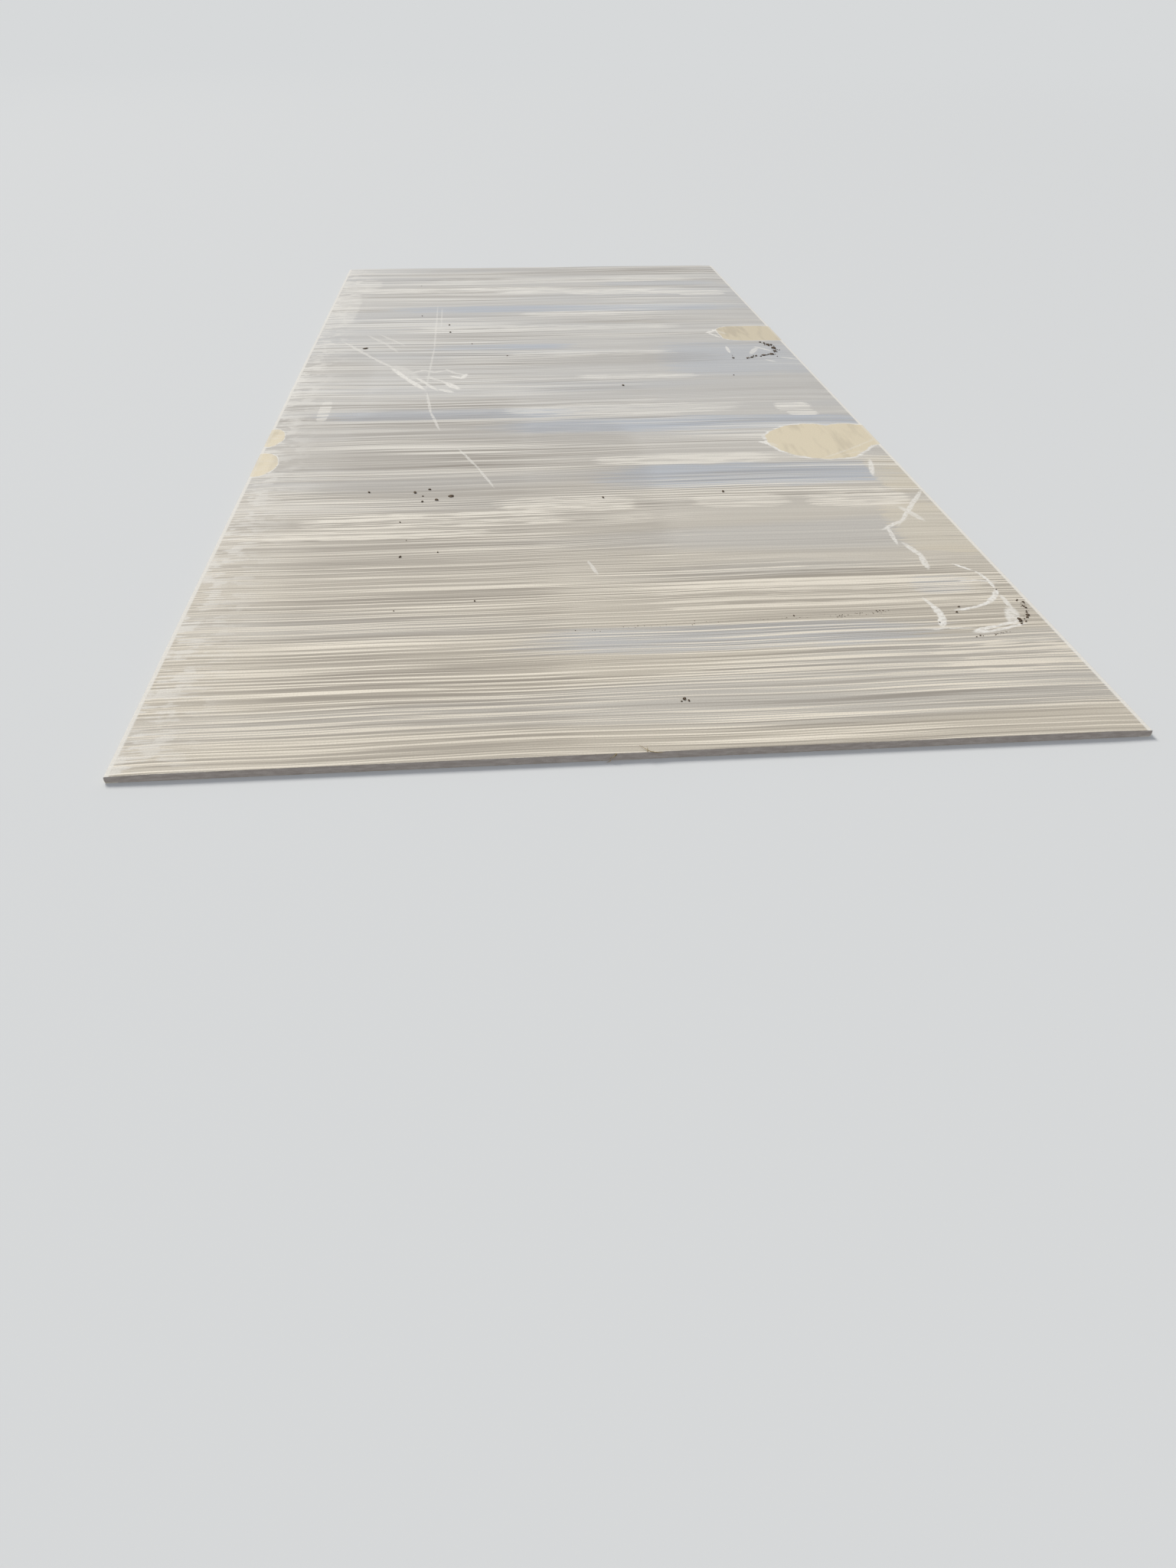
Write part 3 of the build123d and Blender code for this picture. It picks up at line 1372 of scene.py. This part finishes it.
@dataclass
class PaperFibres:
    """The torn fibres that stand out of the paper at the cut ends, with their sizes in millimetres.

    Attributes:
        each_end: How many fine fibres there are at each end.
        runs: How far the shortest and the longest of them stand out.
        lean: How far they lean to a side at most.
        thinned: The share of its thickness that a fibre has lost at its tip.
    """

    section: Section
    finish: LooseFinish = TORN_FIBRE
    seed: int = 11
    each_end: int = 46
    corner_gap: float = 60.0
    runs: Point = (0.8, 3.2)
    lean: float = 2.0
    widths: Point = (0.15, 0.35)
    thinned: float = 0.75

    def measured(self) -> list[Fibre]:
        """The tufts at the near end, in their places on the board.

        Returns:
            The fibres.
        """
        near, top = self.section.low.y / MM, self.section.high.z / MM
        moved = (tuple((x, near + y, top + z) for x, y, z in tuft.points) for tuft in NEAR_TUFTS)
        return [Fibre(points, tuft.width) for points, tuft in zip(moved, NEAR_TUFTS)]

    def scattered(self, dice: random.Random) -> list[Fibre]:
        """Short fibres along the rims of both ends.

        Args:
            dice: The seeded source of chance.

        Returns:
            The fibres.
        """
        found = []
        top, reach = self.section.high.z / MM, self.section.high.x / MM - self.corner_gap
        # The height of each rim, and the least and the most that a fibre rises from it
        rims = ((top - 0.2, (-0.5, 0.4)), (0.6, (0.0, 0.8)))
        for end, outward in ((self.section.low.y / MM, -1), (self.section.high.y / MM, 1)):
            for _ in range(self.each_end):
                x = dice.uniform(-reach, reach)
                rim, rises = dice.choice(rims)
                run, lean = dice.uniform(*self.runs), dice.uniform(-self.lean, self.lean)
                rise = dice.uniform(*rises)
                root = (x, end - outward * 0.3, rim)
                bend = (x + lean * 0.4, end + outward * run * 0.5, rim + rise)
                tip = (x + lean, end + outward * run, rim + rise * 0.6)
                found.append(Fibre((root, bend, tip), dice.uniform(*self.widths)))
        return found

    def build(self) -> Piece:
        """Draws each fibre as a tapered tube and makes them one mesh.

        Returns:
            The piece.
        """
        line = bpy.data.curves.new("paper_fibres", "CURVE")
        line.dimensions = "3D"
        line.bevel_depth = 0.5 * MM
        line.bevel_resolution = 1
        line.resolution_u = 5
        line.use_fill_caps = True
        for fibre in self.measured() + self.scattered(random.Random(self.seed)):
            spline = line.splines.new("NURBS")
            last = len(fibre.points) - 1
            spline.points.add(last)
            for index, (point, place) in enumerate(zip(spline.points, fibre.points)):
                point.co = (*(c * MM for c in place), 1)
                point.radius = fibre.width * (1 - self.thinned * index / last)
            spline.order_u = 3
            spline.use_endpoint_u = True
        make_active(bring_in("paper_fibres", line))
        bpy.ops.object.convert(target="MESH")
        piece = bpy.context.object
        piece.name = piece.data.name = "paper_fibres"
        return dress(piece, self.finish.material())


# The studio


@dataclass
class Studio:
    """A pale floor that fades into a surround of the same tone, a soft high sun and an even sky.

    The floor shows from above only, so that the back of the sheet can be looked at from below.

    Attributes:
        backdrop: What the camera sees past the floor.
        floor_drop: How far the floor lies below the sheet.
        fade: The distances between which it fades into the surround.
        sun_angle: How wide the main light is, in degrees.
    """

    tone: Colour = srgb(226, 228, 230)
    backdrop: Colour = srgb(215, 217, 218)
    floor_radius: float = 80.0
    floor_sides: int = 96
    floor_drop: float = 0.2 * MM
    fade: Point = (4.0, 20.0)
    sky_tone: Colour = srgb(240, 244, 250)
    sky: float = 0.46
    sun_tone: Colour = srgb(255, 251, 243)
    sun: float = 2.3
    sun_angle: float = 22.0
    sun_from: Place = (-0.42, 0.80, 0.80)

    def floor_finish(self) -> bpy.types.Material:
        """A dull pale finish that fades out at a distance and doesn't show from below.

        Returns:
            The material.
        """
        bench = Bench("studio_floor")
        bench.fill(bench.shader, {"Base Color": self.tone, "Roughness": 0.9, "Specular IOR Level": 0.1})
        glow = bench.add("ShaderNodeEmission", [self.backdrop]).outputs[0]
        far = bench.between(bench.vector("LENGTH", bench.place), *self.fade)
        mixed = bench.add("ShaderNodeMixShader", [far, bench.shader.outputs[0], glow])
        below = bench.add("ShaderNodeNewGeometry").outputs["Backfacing"]
        clear = bench.add("ShaderNodeBsdfTransparent").outputs[0]
        seen = bench.add("ShaderNodeMixShader", [below, mixed.outputs[0], clear])
        bench.join(seen.outputs[0], bench.output.inputs["Surface"])
        return bench.material

    def floor(self) -> None:
        """Lays the round floor just under the sheet."""
        bpy.ops.object.select_all(action="DESELECT")
        bpy.ops.mesh.primitive_circle_add(
            vertices=self.floor_sides, radius=self.floor_radius, fill_type="NGON",
            location=(0, 0, -self.floor_drop),
        )
        ground = bpy.context.object
        ground.name = "studio_floor"
        bpy.ops.object.transform_apply()
        ground.data.materials.append(self.floor_finish())
        ground.visible_diffuse = ground.visible_glossy = ground.visible_shadow = False

    def surroundings(self) -> None:
        """Lights the scene evenly from all sides and shows the same pale tone to the camera."""
        world = bpy.data.worlds.new("studio")
        world.use_nodes = True
        tree = world.node_tree
        tree.nodes.clear()
        mixed = tree.nodes.new("ShaderNodeMixShader")
        for slot, tone, strength in ((1, self.sky_tone, self.sky), (2, self.backdrop, 1.0)):
            light = tree.nodes.new("ShaderNodeBackground")
            light.inputs["Color"].default_value = tone
            light.inputs["Strength"].default_value = strength
            tree.links.new(light.outputs[0], mixed.inputs[slot])
        rays = tree.nodes.new("ShaderNodeLightPath")
        tree.links.new(rays.outputs["Is Camera Ray"], mixed.inputs[0])
        output = tree.nodes.new("ShaderNodeOutputWorld")
        tree.links.new(mixed.outputs[0], output.inputs["Surface"])
        bpy.context.scene.world = world

    def soft_sun(self) -> None:
        """Hangs the main light behind the sheet on the left, so that the near end is in shade."""
        light = bpy.data.lights.new("soft_sun", "SUN")
        light.energy = self.sun
        light.angle = math.radians(self.sun_angle)
        light.color = self.sun_tone[:3]
        lamp = bring_in("soft_sun", light)
        lamp.rotation_mode = "QUATERNION"
        lamp.rotation_quaternion = (-Vector(self.sun_from)).to_track_quat("-Z", "Y")

    def build(self) -> None:
        """Sets up the floor, the surroundings and the main light."""
        self.floor()
        self.surroundings()
        self.soft_sun()


@dataclass(frozen=True)
class PhotoCamera:
    """The photograph's camera, found by fitting a pinhole to the sheet's outline.

    Attributes:
        corner_offset: Its place from the near left corner of the face.
        tilt: Degrees below the horizon.
        turn: Degrees to the right of the sheet's length.
        roll: Degrees of roll.
        focal_pixels: Focal length in pixels of the photograph.
        long_side: The photograph's longer side in pixels.
        widening: How much wider than the photograph the frame is, so that the whole sheet shows.
        shift: Camera shift that frames it.
    """

    corner_offset: Place = (443 * MM, -868 * MM, 652 * MM)
    tilt: float = 38.52
    turn: float = 4.78
    roll: float = 0.32
    focal_pixels: float = 1600.0
    long_side: float = 2048.0
    widening: float = 1.27
    sensor: float = 36.0
    shift: Point = (0.01, 0.0)
    clip: Point = (0.02, 200.0)

    def build(self, section: Section) -> None:
        """Places the camera and makes it the scene's.

        Args:
            section: The board's section, whose corner the camera is measured from.
        """
        lens = bpy.data.cameras.new("photo_camera")
        lens.sensor_width = self.sensor
        lens.lens = self.focal_pixels / self.long_side * self.sensor / self.widening
        lens.shift_x, lens.shift_y = self.shift
        lens.clip_start, lens.clip_end = self.clip
        camera = bring_in("photo_camera", lens)
        camera.rotation_euler = (math.radians(90 - self.tilt), 0, math.radians(-self.turn))
        camera.rotation_euler.rotate_axis("Z", math.radians(self.roll))
        corner = Vector((section.low.x, section.low.y, section.high.z))
        camera.location = corner + Vector(self.corner_offset)
        bpy.context.scene.camera = camera


def main() -> None:
    """Builds the studio, the board's pieces and what lies on them, and logs each piece's number of faces."""
    logging.basicConfig(level=logging.INFO, format="%(name)s: %(message)s")
    bpy.context.scene.view_settings.view_transform = "Standard"
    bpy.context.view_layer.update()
    section = Section(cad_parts[CAD_NODE])
    PhotoCamera().build(section)
    Studio().build()
    for part in (GypsumCore, FacePaper, BackPaper, SoilCrumbs, PaperFibres):
        piece = part(section).build()
        LOG.info("built %s: %d faces", piece.name, len(piece.data.polygons))


if __name__ == "__main__":
    main()
